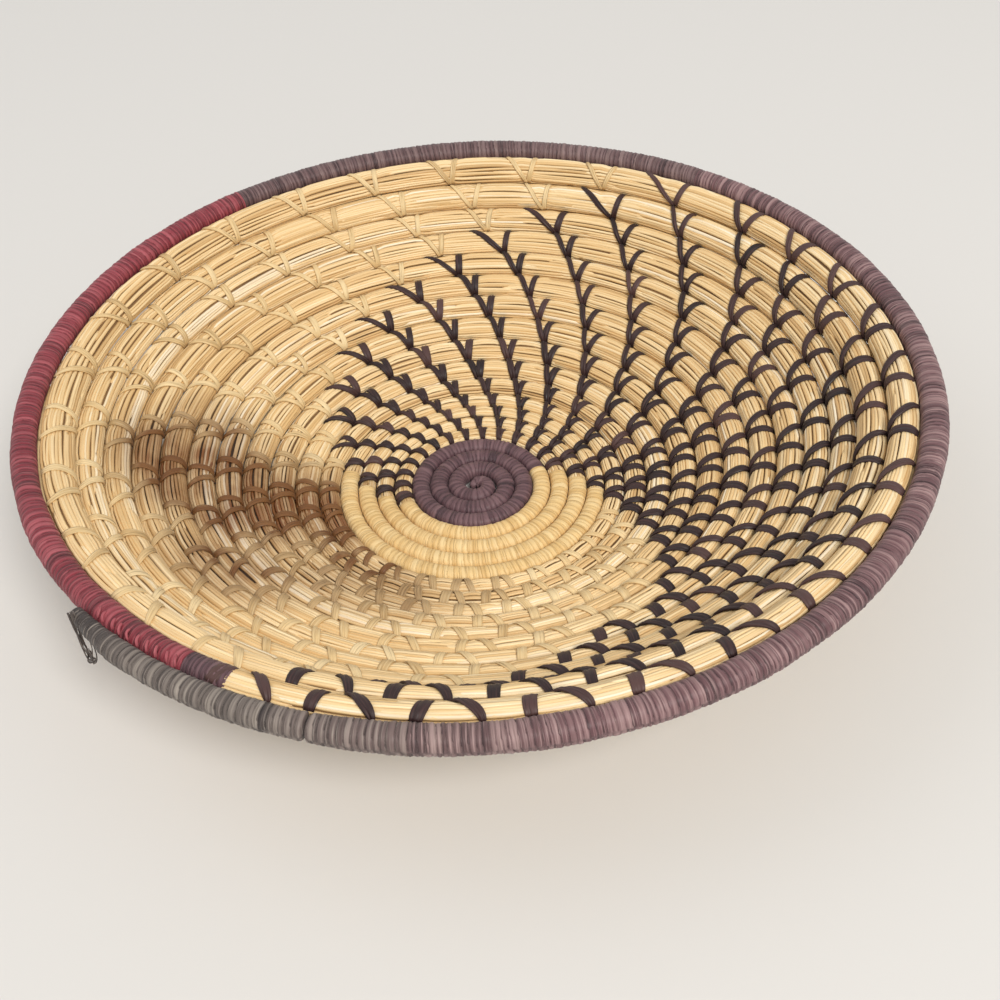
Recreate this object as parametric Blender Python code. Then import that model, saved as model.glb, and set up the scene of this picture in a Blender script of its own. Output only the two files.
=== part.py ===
"""Coiled sweetgrass basket.

A wide shallow bowl. One bundle of grass stems winds outward from the middle of
the floor, clockwise seen from above. Raffia binds it: closely round the middle
and the rim, and elsewhere in forked stitches whose long arms run on from row to
row as swirling lines. The bowl stands on z = 0 with the middle of its outline
at the origin, and all lengths are in metres.
"""
import math

import bmesh
import bpy
import numpy as np
from mathutils import Vector

# The winding, counted in turns from the middle
START_TURN = 0.3
END_TURN = 19.985
POINTS_PER_TURN = 24
SIDES = 6
LEAST_STEP_SHARE = 0.02
END_AZIMUTH = -138.6

# Pitch of the rows, measured up the wall
FLOOR_PITCH = 0.0068
LOWER_WALL_PITCH = 0.0101
UPPER_WALL_PITCH = 0.0104
LAST_ROW_PITCH = 0.0138
RIM_PITCH = 0.0092
FLOOR_PITCH_END_TURN = 7.0
LOWER_WALL_PITCH_TURN = 10.0
UPPER_WALL_PITCH_TURN = 17.4
LAST_ROW_TURN = 18.4
RIM_PITCH_TURN = 18.9

# Slope of the wall, in degrees from level
FOOT_SLOPE = 26.5
LOWER_WALL_SLOPE = 25.5
UPPER_WALL_SLOPE = 36.0
SHOULDER_SLOPE = 45.0
RIM_SLOPE = 40.0
LIP_SLOPE = 0.0
FLAT_FLOOR_END_TURN = 7.6
FOOT_TURN = 10.6
LOWER_WALL_TURN = 13.2
UPPER_WALL_TURN = 16.5
SHOULDER_TURN = 18.2
RIM_SLOPE_TURN = 18.9
LIP_SLOPE_TURN = 19.6

# Section of the coil: the gap is the one between turns, and the height is a share of the width
COIL_GAP = 0.0005
COIL_HEIGHT_SHARE = 0.95
START_SECTION_SHARE = 0.58
START_TAPER_TURNS = 0.5
END_SECTION_SHARE = 0.5
END_TAPER_TURNS = 0.02

# Raffia bound closely round the coil
WRAP_THICKNESS = 0.0006
WRAP_CLEARANCE = 0.0004
SHOULDER_LENGTH = 0.0006

# Azimuths on the last turn where its binding starts and changes colour
RIM_BINDING = (
    ("rim_wrap_start", 242.0, 236.5, "dark plum raffia"),
    ("rim_wrap_maroon", 236.5, 126.0, "maroon raffia"),
    ("rim_wrap_charcoal", 126.0, 50.0, "charcoal raffia"),
    ("rim_wrap_plum", 50.0, -98.0, "plum raffia"),
    ("rim_wrap_tail", -98.0, END_AZIMUTH, "grey raffia"),
)

# Forked stitches: rows are counted inward from the rim, azimuths are in degrees
CLOSE_SPACING = 11.0
WIDE_SPACING = 13.6
SPACING_CHANGE_AZIMUTH = 37.5
ROW_DRIFT = 3.6
STITCHED_ROWS = 15
DARK_START_ROWS = (1, 5, 7, 9, 16)
DARK_START_AZIMUTHS = (-120.0, -84.0, -58.0, -42.0, 14.0)
DARK_END_AZIMUTH = 58.0
DARK_END_SHIFT = 10.0
SMOOTH_ROWS = (16, 15, 14, 13)
STRAP_WIDTH = 0.0026
STRAP_THICKNESS = 0.0008
STRAP_CLEARANCE = 0.00035
STRAP_DIP = 0.0016
STRAP_CREST_SHARES = (0.28, 0.72)

# Loose end of raffia that hangs from the tail of the rim
STRAND_RADIUS = 0.0007
STRAND_LOOP_WIDTH = 0.0060
STRAND_LOOP_DROP = 0.0150
STRAND_POINTS = 14
STRAND_SWEEP_DEGREES = 140.0
STRAND_ROOT_SHARE = 0.3
STRAND_CLEARANCE = 0.0003

# Colour, roughness and metallic value of each material
MATERIALS = {
    "sweetgrass": ((0.78, 0.58, 0.32), 0.62, 0.0),
    "natural raffia": ((0.66, 0.46, 0.19), 0.50, 0.0),
    "dark raffia": ((0.035, 0.026, 0.034), 0.48, 0.0),
    "dark plum raffia": ((0.100, 0.062, 0.075), 0.52, 0.0),
    "plum raffia": ((0.170, 0.105, 0.125), 0.50, 0.0),
    "maroon raffia": ((0.260, 0.060, 0.085), 0.50, 0.0),
    "charcoal raffia": ((0.090, 0.080, 0.090), 0.52, 0.0),
    "grey raffia": ((0.260, 0.225, 0.190), 0.52, 0.0),
}

PITCH_TURNS = (0.0, FLOOR_PITCH_END_TURN, LOWER_WALL_PITCH_TURN, UPPER_WALL_PITCH_TURN, LAST_ROW_TURN,
               RIM_PITCH_TURN)
PITCHES = (FLOOR_PITCH, FLOOR_PITCH, LOWER_WALL_PITCH, UPPER_WALL_PITCH, LAST_ROW_PITCH, RIM_PITCH)
SLOPE_TURNS = (FLAT_FLOOR_END_TURN, FOOT_TURN, LOWER_WALL_TURN, UPPER_WALL_TURN, SHOULDER_TURN,
               RIM_SLOPE_TURN, LIP_SLOPE_TURN)
SLOPES = (0.0, FOOT_SLOPE, LOWER_WALL_SLOPE, UPPER_WALL_SLOPE, SHOULDER_SLOPE, RIM_SLOPE, LIP_SLOPE)
PROFILE_STEPS_PER_TURN = 96
SHARP_DEGREES = 75.0


def wall_profile():
    """Turns, radii and rises of the wall, from the middle outward."""
    last = math.ceil((END_TURN + 1) * PROFILE_STEPS_PER_TURN)
    turns = np.arange(0, last + 1) / PROFILE_STEPS_PER_TURN
    pitch = np.interp(turns, PITCH_TURNS, PITCHES)
    slope = np.radians(np.interp(turns, SLOPE_TURNS, SLOPES))

    def added_up(values):
        steps = (values[1:] + values[:-1]) / 2 / PROFILE_STEPS_PER_TURN
        return np.concatenate(([0.0], np.cumsum(steps)))

    return turns, added_up(pitch * np.cos(slope)), added_up(pitch * np.sin(slope))


TURNS, RADII, RISES = wall_profile()


def radius_at(turn):
    """Distance from the axis, counted negative on the far side of the middle for turns below zero."""
    return math.copysign(float(np.interp(abs(turn), TURNS, RADII)), turn)


def rise_at(turn):
    """Height of the wall's underside above the floor's."""
    return float(np.interp(abs(turn), TURNS, RISES))


def azimuth_of(turn):
    """Direction in degrees of the point that is this many turns from the middle."""
    return END_AZIMUTH + (END_TURN - turn) * 360.0


def turn_at(row, azimuth):
    """Turn where a row, counted inward from the rim, passes an azimuth."""
    return END_TURN - row - (azimuth - END_AZIMUTH) / 360.0


def section_share(turn):
    """Taper of the coil at its start and at the tail of its rim."""
    start = np.interp(turn, (START_TURN, START_TURN + START_TAPER_TURNS), (START_SECTION_SHARE, 1.0))
    end = np.interp(turn, (END_TURN - END_TAPER_TURNS, END_TURN), (1.0, END_SECTION_SHARE))
    return float(start * end)


def seam_point(turn, outward):
    """Where two turns of the coil meet, half the coil's height above the wall's underside."""
    pitch = float(np.interp(abs(turn), PITCH_TURNS, PITCHES))
    lift = (pitch - COIL_GAP) / 2 * COIL_HEIGHT_SHARE
    return outward * radius_at(turn) + Vector((0.0, 0.0, rise_at(turn) + lift))


def section_frame(turn):
    """Middle of the coil, its directions across and up, and its half sizes.

    A turn fills the wall from the seam half a turn behind it to the one half a
    turn ahead, less the gap. Where it tapers to the tail it keeps to its inner seam.
    """
    azimuth = math.radians(azimuth_of(turn))
    outward = Vector((math.cos(azimuth), math.sin(azimuth), 0.0))
    inner_seam, outer_seam = seam_point(turn - 0.5, outward), seam_point(turn + 0.5, outward)
    across = (outer_seam - inner_seam).normalized()
    up = Vector((0.0, 0.0, across.dot(outward))) - outward * across.z
    full_width = ((outer_seam - inner_seam).length - COIL_GAP) / 2
    width = full_width * section_share(turn)
    height = width * COIL_HEIGHT_SHARE
    middle = (inner_seam + outer_seam) / 2
    if turn > END_TURN - END_TAPER_TURNS:
        middle -= across * (full_width - width)
    return middle, across, up, width, height


def faceted_point(turn, across_share, up_share, grow=0.0, lift=0.0):
    """Point on the coil's section, on the straight run between two of its 24 rings a turn."""
    low = math.floor(turn * POINTS_PER_TURN + 1e-9)
    before, after = low / POINTS_PER_TURN, min((low + 1) / POINTS_PER_TURN, END_TURN)
    share = min(max((turn - before) / (after - before), 0.0), 1.0)

    def ring_point(ring_turn):
        middle, across, up, width, height = section_frame(ring_turn)
        return middle + across * ((width + grow) * across_share) + up * ((height + grow) * up_share + lift)

    if share == 0.0:
        return ring_point(before)
    return ring_point(before).lerp(ring_point(after), share)


SECTION = [(math.cos(math.tau * i / SIDES), math.copysign(1.0, math.sin(math.tau * i / SIDES))
            if i % (SIDES // 2) else 0.0) for i in range(SIDES)]


def section_ring(turn, grow=0.0):
    """The six corners of the coil's section, with flat sides up and down."""
    return [faceted_point(turn, across, up, grow) for across, up in SECTION]


def turns_between(first, last):
    """First and last turn of a stretch, and the coil's rings between them."""
    margin = LEAST_STEP_SHARE / POINTS_PER_TURN
    start = math.ceil((first + margin) * POINTS_PER_TURN)
    stop = math.floor((last - margin) * POINTS_PER_TURN)
    return [first] + [i / POINTS_PER_TURN for i in range(start, stop + 1)] + [last]


def turns_of_length(turn, length):
    return length / (math.tau * radius_at(turn))


def make_material(name):
    colour, roughness, metallic = MATERIALS[name]
    material = bpy.data.materials.get(name)
    if material is None:
        material = bpy.data.materials.new(name)
        material.use_nodes = True
        shader = material.node_tree.nodes["Principled BSDF"]
        shader.inputs["Base Color"].default_value = (*colour, 1.0)
        shader.inputs["Roughness"].default_value = roughness
        shader.inputs["Metallic"].default_value = metallic
        material.diffuse_color = (*colour, 1.0)
    return material


def add_object(name, bm, material_name):
    """Turns a closed mesh into a named object with its material."""
    bmesh.ops.recalc_face_normals(bm, faces=bm.faces)
    mesh = bpy.data.meshes.new(name)
    bm.to_mesh(mesh)
    bm.free()
    mesh.materials.append(make_material(material_name))
    item = bpy.data.objects.new(name, mesh)
    bpy.context.collection.objects.link(item)
    return item


def loft(rings, bore_rings=None):
    """Skins a run of rings into one closed body, hollow where a bore's rings are given."""
    bm = bmesh.new()
    skins = [[[bm.verts.new(point) for point in ring] for ring in rings]]
    if bore_rings:
        skins.append([[bm.verts.new(point) for point in ring] for ring in bore_rings])
    for skin in skins:
        for ring, following in zip(skin, skin[1:]):
            for i in range(len(ring)):
                j = (i + 1) % len(ring)
                bm.faces.new((ring[i], ring[j], following[j], following[i]))
    for end in (0, -1):
        outer = skins[0][end]
        if bore_rings:
            inner = skins[1][end]
            for i in range(len(outer)):
                j = (i + 1) % len(outer)
                bm.faces.new((outer[i], outer[j], inner[j], inner[i]))
        else:
            bm.faces.new(outer)
    return bm


def wrap_stretches():
    """Name, first turn, last turn and material of each close binding, from the middle outward."""
    stretches = []
    first_smooth = turn_at(SMOOTH_ROWS[0], dark_start(SMOOTH_ROWS[0]))
    stretches.append(("centre_wrap", START_TURN, first_smooth, "dark plum raffia"))
    for number, row in enumerate(SMOOTH_ROWS, start=1):
        first = turn_at(row, dark_start(row))
        last = turn_at(row - 1, dark_end(row - 1))
        stretches.append((f"inner_wrap_{number}", first, last, "natural raffia"))
    for name, first, last, material in RIM_BINDING:
        stretches.append((name, turn_at(0, first), turn_at(0, last), material))
    return stretches


def dark_start(row):
    return float(np.interp(row, DARK_START_ROWS, DARK_START_AZIMUTHS))


def dark_end(row):
    return DARK_END_AZIMUTH + DARK_END_SHIFT * (row - 1)


def make_foundation(stretches):
    """The bundle of stems, one unbroken tube, thinner where raffia binds it closely."""
    core = -(WRAP_THICKNESS + WRAP_CLEARANCE)
    rings = []
    covered = []
    for _, first, last, _ in stretches:
        if covered and abs(covered[-1][1] - first) < 1e-6:
            covered[-1][1] = last
        else:
            covered.append([first, last])
    turn = START_TURN
    for first, last in covered:
        if first > turn:
            gap = turns_of_length(first, WRAP_CLEARANCE)
            shoulder = turns_of_length(first, SHOULDER_LENGTH)
            for t in turns_between(turn, first - gap - shoulder):
                rings.append(section_ring(t))
            first = first - gap
        else:
            first = turn
        gap = turns_of_length(last, WRAP_CLEARANCE)
        shoulder = turns_of_length(last, SHOULDER_LENGTH)
        last_core = last + gap if last < END_TURN else last
        for t in turns_between(first, last_core):
            rings.append(section_ring(t, core))
        turn = last_core + shoulder
    return add_object("foundation_coil", loft(rings), "sweetgrass")


def make_wrap(name, first, last, material):
    """A close binding: a sleeve round the coil, open at both ends."""
    gap = turns_of_length(first, WRAP_CLEARANCE) / 2 if first > START_TURN else 0.0
    turns = turns_between(first + gap, last - (turns_of_length(last, WRAP_CLEARANCE) / 2))
    if last == END_TURN:
        turns[-1] = END_TURN
    outer = [section_ring(t) for t in turns]
    bore = [section_ring(t, -WRAP_THICKNESS) for t in turns]
    return add_object(name, loft(outer, bore), material)


def strap_ring(row, azimuth, place, half_angle):
    """Four corners of a strap where it crosses a row's crest or the seam inside the row."""
    low = []
    high = []
    for edge in (-half_angle, half_angle):
        turn = turn_at(row, azimuth + edge)
        _, _, up, _, height = section_frame(turn)
        if place == "seam":
            _, _, inner_up, _, inner_height = section_frame(turn - 1.0)
            up = (up + inner_up).normalized()
            seam = (faceted_point(turn - 1.0, 1.0, 0.0) + faceted_point(turn, -1.0, 0.0)) / 2
            lower_top = 2 * min(height, inner_height) - (height + inner_height) / 2
            point = seam + up * (lower_top - STRAP_DIP)
        else:
            point = faceted_point(turn, place, 1.0, lift=STRAP_CLEARANCE)
        low.append(point)
        high.append(point + up * STRAP_THICKNESS)
    return [low[0], low[1], high[1], high[0]]


def strap_half_angle(row, azimuth):
    """Half of a strap's width along the coil, in degrees, widened for the strap's lean."""
    turn = turn_at(row, azimuth)
    radius = radius_at(turn)
    pitch = float(np.interp(turn, PITCH_TURNS, PITCHES))
    lean = math.atan(math.radians(ROW_DRIFT) * radius / pitch)
    return math.degrees(STRAP_WIDTH / 2 / math.cos(lean) / radius)


def make_chain(name, arms):
    """One swirling line of dark stitches: arms over neighbouring rows, inmost row first."""
    rings = []
    for row, apex in arms:
        half = strap_half_angle(row, apex)
        rings.append(strap_ring(row, apex, "seam", half))
        for share, corner in zip(STRAP_CREST_SHARES, (-0.5, 0.5)):
            rings.append(strap_ring(row, apex + ROW_DRIFT * share, corner, half))
    row, apex = arms[-1]
    end = apex + ROW_DRIFT
    rings.append(strap_ring(row - 1, end, "seam", strap_half_angle(row, end)))
    return add_object(name, loft(rings), "dark raffia")


def stitch_lines():
    """Row and azimuth of every dark arm, gathered into its swirling line."""
    lines = []
    count = int(360 / CLOSE_SPACING)
    for number in range(-count, count):
        spacing = CLOSE_SPACING if number < 0 else WIDE_SPACING
        first_apex = SPACING_CHANGE_AZIMUTH + spacing * number
        arms = []
        for row in range(1, STITCHED_ROWS + 1):
            apex = first_apex - ROW_DRIFT * (row - 1)
            if dark_start(row) <= apex <= dark_end(row):
                arms.append((row, apex))
        if arms:
            lines.append(arms[::-1])
    return lines


def make_loose_strand():
    """The raffia's loose end: it hangs from under the rim's tail and turns up again."""
    middle, across, up, width, height = section_frame(END_TURN)
    outward = Vector((middle.x, middle.y, 0.0)).normalized()
    sideways = Vector((-outward.y, outward.x, 0.0))
    root = middle + across * (width * STRAND_ROOT_SHARE) - up * (height + STRAND_CLEARANCE)
    root += sideways * (STRAND_RADIUS * 2)
    curve = bpy.data.curves.new("loose_strand", "CURVE")
    curve.dimensions = "3D"
    curve.bevel_depth = STRAND_RADIUS
    curve.bevel_resolution = 1
    curve.use_fill_caps = True
    spline = curve.splines.new("POLY")
    spline.points.add(STRAND_POINTS - 1)
    for i, point in enumerate(spline.points):
        sweep = math.radians(STRAND_SWEEP_DEGREES * i / (STRAND_POINTS - 1))
        place = root + sideways * ((1.0 - math.cos(sweep)) * STRAND_LOOP_WIDTH / 2)
        place.z -= math.sin(sweep) * STRAND_LOOP_DROP
        point.co = (*place, 1.0)
    item = bpy.data.objects.new("loose_strand", curve)
    item.data.materials.append(make_material("grey raffia"))
    bpy.context.collection.objects.link(item)
    return item


def least_gap_between_turns():
    """Least distance from one turn's corners and sides to the next turn's, in metres."""
    per_turn = POINTS_PER_TURN * 4
    count = int((END_TURN - START_TURN) * per_turn)
    sections = []
    for i in range(count + 1):
        ring = section_ring(START_TURN + i / per_turn)
        sections.append([tuple(p) for p in ring]
                        + [tuple((p + q) / 2) for p, q in zip(ring, ring[1:] + ring[:1])])
    sections = np.array(sections)
    least = math.inf
    for shift in range(-3, 4):
        inner = sections[:count + 1 - per_turn - 3]
        start = per_turn + shift
        outer = sections[start:start + len(inner)]
        inner = inner[:len(outer)]
        apart = np.linalg.norm(inner[:, :, None, :] - outer[:, None, :, :], axis=-1)
        least = min(least, float(apart.min()))
    return least


def set_on_origin():
    """Hangs every piece on one empty and moves the middle of the bowl's outline to the origin."""
    basket = bpy.data.objects.new("basket", None)
    bpy.context.collection.objects.link(basket)
    bpy.context.view_layer.update()
    pieces = [item for item in bpy.data.objects if item is not basket]
    corners = [corner for item in pieces for corner in item.bound_box]
    for axis in (0, 1):
        values = [corner[axis] for corner in corners]
        basket.location[axis] = -(min(values) + max(values)) / 2
    for item in pieces:
        item.parent = basket
    bpy.context.view_layer.update()
    return basket


def smooth_round_faces():
    for item in bpy.context.scene.objects:
        if item.type == "MESH":
            item.data.shade_smooth()
            item.data.set_sharp_from_angle(angle=math.radians(SHARP_DEGREES))


def build():
    for item in list(bpy.data.objects):
        bpy.data.objects.remove(item, do_unlink=True)
    stretches = wrap_stretches()
    make_foundation(stretches)
    for name, first, last, material in stretches:
        make_wrap(name, first, last, material)
    for number, arms in enumerate(stitch_lines(), start=1):
        make_chain(f"dark_stitches_{number:02d}", arms)
    make_loose_strand()
    smooth_round_faces()
    basket = set_on_origin()
    print(f"middle of the winding at {tuple(round(value, 5) for value in basket.location)} m")
    print(f"turns {END_TURN - START_TURN:.1f}, least gap between turns {least_gap_between_turns() * 1000:.3f} mm")


build()
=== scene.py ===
"""Looks of the coiled sweetgrass basket.

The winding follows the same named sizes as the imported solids: one bundle of stems
that runs outward clockwise, counted in turns from the middle. Rows are counted inward
from the rim. Lengths are in metres and azimuths in degrees from +X towards +Y.
"""
import math

import bpy
import numpy as np
from mathutils import Matrix, Vector


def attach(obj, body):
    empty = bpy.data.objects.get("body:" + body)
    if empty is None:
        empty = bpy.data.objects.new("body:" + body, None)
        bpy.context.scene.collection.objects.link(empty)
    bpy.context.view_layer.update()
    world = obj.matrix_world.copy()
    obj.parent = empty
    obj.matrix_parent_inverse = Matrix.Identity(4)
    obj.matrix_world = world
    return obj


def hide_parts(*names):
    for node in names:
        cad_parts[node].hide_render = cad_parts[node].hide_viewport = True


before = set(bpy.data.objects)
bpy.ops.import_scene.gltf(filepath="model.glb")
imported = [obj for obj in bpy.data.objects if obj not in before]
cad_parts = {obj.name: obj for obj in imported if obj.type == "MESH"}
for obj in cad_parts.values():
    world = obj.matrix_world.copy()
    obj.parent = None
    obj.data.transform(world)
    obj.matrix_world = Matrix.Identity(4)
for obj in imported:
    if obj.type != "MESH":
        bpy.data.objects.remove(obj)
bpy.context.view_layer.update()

# The winding
MIDDLE = np.array((-0.00228, 0.00228, 0.0))
START_TURN, END_TURN, END_AZIMUTH = 0.3, 19.985, -138.6
PITCH_TURNS, PITCHES = (0.0, 7.0, 10.0, 17.4, 18.4, 18.9), (0.0068, 0.0068, 0.0101, 0.0104, 0.0138, 0.0092)
SLOPE_TURNS, SLOPES = (7.6, 10.6, 13.2, 16.5, 18.2, 18.9, 19.6), (0.0, 26.5, 25.5, 36.0, 45.0, 40.0, 0.0)
PROFILE_STEPS = 96
COIL_GAP, HEIGHT_SHARE = 0.0005, 0.95
START_TURNS, START_SHARES = (0.02, START_TURN, 0.8), (0.40, 0.58, 1.0)
TAIL_TURNS, TAIL_SHARES = (END_TURN - 0.12, END_TURN - 0.02, END_TURN), (1.0, 0.80, 0.5)
BUNDLE_POWER = 2.25
UP = np.array((0.0, 0.0, 1.0))
LOWEST, FLOOR_HEIGHT = -0.00008, -0.0002
SEEDS = {"stems": 11, "stitches": 23, "disc": 31, "smooth": 40, "rim": 60, "tail": 8, "strands": 5}

# Forked stitches: angles in degrees, and azimuths on the first row
CLOSE_SPACING, WIDE_SPACING, SPACING_CHANGE = 11.0, 13.6, 37.5
DRIFT, TIE_DRIFT, STITCHED_ROWS = 3.6, -0.7, 15
DARK_START_ROWS, DARK_STARTS = (1, 5, 7, 9, 16), (-120.0, -84.0, -58.0, -42.0, 14.0)
DARK_END, DARK_END_STEP = 58.0, 10.0
SMOOTH_ROWS, COVER_SHARPNESS = (16, 15, 14, 13), 60
PLACES_START = -140.0
TIE_PLACES, TIE_OFFSETS = (-110.0, -20.0, 50.0, 150.0, 200.0), (2.3, 1.3, 0.3, 0.3, 2.3)
STRAP_PLACES, STRAP_SHARES = (-120.0, -20.0, 10.0, 50.0, 150.0, 220.0), (1.0, 0.88, 0.80, 0.60, 0.72, 0.95)
SMALL_STRAP_TURN, SMALL_STRAP_SHARE = 10.5, 0.70
NARROW_START, NARROW_TURNS, LEAST_START_SHARE = 2.0, 7.0, 0.72
FORK_LEAN, FORK_ROWS = 6.8, 12
PINCH_DEPTH, PINCH_REACH, PINCH_SPREAD, BULGE = 0.00042, 0.0022, 2.2, 0.00030
# Straps on the upper side, dark and undyed: width, thickness, lift, ridges and the widths of their ends
ARM_STRAPS = {"dark": (0.0035, 0.00056, 0.00034, 2.0, (0.72, 0.40)),
              "natural": (0.0028, 0.00040, 0.00012, 3.0, (0.7, 0.55))}
TIE_STRAPS = {"dark": (0.0042, 0.00036, 0.00002, 2.0, (0.86, 0.80)),
              "natural": (0.0033, 0.00036, 0.00002, 3.0, (0.86, 0.80))}
UNDER_STRAP = (0.0028, 0.00030, 0.00016, 3.0, (0.7, 0.7))
ARM_ANGLES, TIE_ANGLES, UNDER_ANGLES = (172, 2), (166, 8), (-168, -12)
ARM_STEPS, TIE_STEPS, UNDER_STEPS = 13, 11, 10
PROFILE_COLUMNS, STRAP_DEPTH, FOOT_SHARE = 13, 0.0004, 0.8
CROWN_REACH, CROWN_POWER, RIDGE_SHARE, STRAP_GRAIN_STEP = 0.93, 0.7, 0.28, 0.37
STRAP_ARCH, STRAP_WANDER, LIFT_CHANGES, WIDTH_CHANGES = 0.7, 0.25, (-0.00006, 0.00010), (0.88, 1.12)
TIE_DRIFT_CHANGE, UNDER_DRIFT, LEAST_UNDER_SHARE = 0.5, 0.8 * DRIFT, 0.8
MIDDLE_TONE, TONE_SPREAD, TONE_CHANGE, FIRST_ROW_PALENESS = 0.5, 0.2, 0.12, 0.4

# Grass stems: first and last turn, tracks on the upper side and the underside, and the pieces they go into
STEM_GROUPS = ((3.58, 9.2, 10, 8, ("floor",)),
               (9.0, 17.45, 13, 10, ("lower_wall", "upper_wall")),
               (17.25, 18.934, 15, 12, ("top",)))
STEM_SIDES, STEM_FULLNESS, INSIDE_STEP, UNDER_STEP = 5, 1.10, 0.0026, 0.0050
STEM_RUN, STEM_OVERLAP, SHORTEST_STEM = (0.06, 0.20), (0.004, 0.010), 0.012
FIRST_SCATTER, LAST_START = 0.05, 0.01
STEM_END, END_DIP, COVERED_DIP, UNDER_PINCH = 0.0035, 0.0016, 0.0011, 0.7
STEM_WANDER, STEM_GATHER, STEM_UNEVENNESS, STEM_SWELL = 5.5, 0.05, 0.00012, 0.10
WANDER_REACH, UNEVEN_REACH, SWELL_REACH = 0.030, 0.020, 0.025
TRACK_START, TRACK_SPAN, TRACK_CHANGE, STEM_SIZES = 4, 172, 2.0, (0.80, 1.16)
BROWN_STEMS, BROWN_TONE, PALE_STEMS = 0.16, 0.35, 0.04

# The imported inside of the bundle
CORE_TURNS, CORE_STEP, CORE_SIDES = (3.45, 18.94), 0.0045, 14
CORE_DEPTH, COVERED_CORE_DIP, CORE_GRAIN = 0.00080, 0.0004, 0.004
CORE_TIGHTNESS, CORE_TONE = 0.3, 0.3

# Close bindings of the rim: name, slot, and first and last azimuth on the last turn
RIM_BINDING = (
    ("rim_wrap_start", "dark_plum_raffia", 242.0, 236.5),
    ("rim_wrap_maroon", "maroon_raffia", 236.5, 126.0),
    ("rim_wrap_charcoal", "charcoal_raffia", 126.0, 50.0),
    ("rim_wrap_plum", "plum_raffia", 50.0, -98.0),
    ("rim_wrap_tail", "grey_raffia", -98.0, END_AZIMUTH),
)
# Windings of the disc, of the smooth rows and of the rim
DISC_WINDING = {"rib": (0.0014, 0.0022), "thickness": 0.00036, "sides": 30, "step": 0.0004,
                "base": -0.00005, "lumps": 0.0001}
SMOOTH_WINDING = {"rib": (0.0012, 0.0026), "thickness": 0.00020, "sides": 28, "step": 0.0004,
                  "base": 0.0, "lumps": 0.0001}
RIM_WINDING = {"rib": (0.0009, 0.0025), "thickness": 0.00044, "sides": 36, "step": 0.00036,
               "base": -0.0002, "lumps": 0.00018}
# Small stitches that sew the tail down: azimuths of the first and last, number, strap and lean
TAIL_STITCH_PLACES, TAIL_STITCHES = (221.5, 233.5), 10
TAIL_STRAP = (0.0009, 0.00045, 0.00055, 1.0, (0.7, 0.7))
TAIL_DRIFT, TAIL_ANGLES, TAIL_STEPS, TAIL_CHANGE, TAIL_TONES = 2.4, (54, 12), 9, 0.0006, (0.85, 1.0)
# Strips of every binding: how they lean, lie, lap and fold, and the painted shade of their laps
STRIP_LEAN, STRIP_LEVEL, STRIP_MARGIN = 0.0004, 0.00010, 0.02
LEAN_REACH, LUMP_REACH = 0.012, 0.016
LAP_STEP, LAP_CROWN, LAP_POWER, FOLD, FOLD_WAVES, TWIST = 0.45, 0.55, 0.55, 0.10, 9, 0.12
SHADE_LEVEL, SHADE_SHARE, STRIP_GRAIN_STEP = 0.62, 0.9, 0.53
# The split in the tail's binding, and the knot at its end, whose start and blend are in turns
SPLIT_AZIMUTH, GROOVE_WIDTH, GROOVE_DEPTH = -108.0, 0.0005, 0.0018
KNOT_START, KNOT_BLEND, KNOT_DARKNESS = 0.030, 0.020, 0.95

# The loose end
STRANDS, STRAND_STEPS, STRAND_SIDES, STRAND_RADIUS = 7, 30, 6, 0.00030
LOOP_WIDTH, LOOP_DROP, STRAND_LENGTH = 0.0062, 0.0148, 0.03
LOOP_START, LOOP_ENDS, LOOP_CHANGES, DROP_CHANGES = -20, (125, 165), (0.8, 1.1), (0.9, 1.04)
ROOT_OUT_SHARE, ROOT_DOWN_SHARE, ROOT_SHIFT = 0.9, 0.5, 0.0014
OUT_WAVE, OUT_STEPS, SIDE_WAVE, SIDE_STEPS = 0.0009, 8.0, 0.0006, 7.0
RADIUS_CHANGES, TIP_SHARE, STRAND_TONES = (0.7, 1.2), 0.6, (0.0, 0.5)


def wall_profile():
    """Turns of the winding, with the radius and the height of the seam inside each."""
    turns = np.arange(0, (END_TURN + 1) * PROFILE_STEPS + 1) / PROFILE_STEPS
    pitch = np.interp(turns, PITCH_TURNS, PITCHES)
    slope = np.radians(np.interp(turns, SLOPE_TURNS, SLOPES))

    def added_up(values):
        return np.concatenate(([0.0], np.cumsum((values[1:] + values[:-1]) / 2 / PROFILE_STEPS)))

    return turns, added_up(pitch * np.cos(slope)), added_up(pitch * np.sin(slope))


TURNS, RADII, RISES = wall_profile()
LENGTHS = np.concatenate(([0.0], np.cumsum(math.tau * (RADII[1:] + RADII[:-1]) / 2 / PROFILE_STEPS)))


def radius_at(turn):
    return np.sign(turn) * np.interp(np.abs(turn), TURNS, RADII)


def rise_at(turn):
    return np.interp(np.abs(turn), TURNS, RISES)


def seam_height(turn):
    """Height where two turns of the coil meet."""
    pitch = np.interp(np.abs(turn), PITCH_TURNS, PITCHES)
    return rise_at(turn) + (pitch - COIL_GAP) / 2 * HEIGHT_SHARE


def length_at(turn):
    """Length of the coil from the middle to a turn."""
    return np.interp(turn, TURNS, LENGTHS)


def turn_of(length):
    return np.interp(length, LENGTHS, TURNS)


def turn_at(row, azimuth):
    return END_TURN - row - (azimuth - END_AZIMUTH) / 360.0


def dark_start(row):
    """Azimuth where the dark stitches of a row start."""
    return float(np.interp(row, DARK_START_ROWS, DARK_STARTS))


def dark_end(row):
    return DARK_END + DARK_END_STEP * (row - 1)


def unit(vectors):
    return vectors / np.linalg.norm(vectors, axis=-1, keepdims=True)


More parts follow.
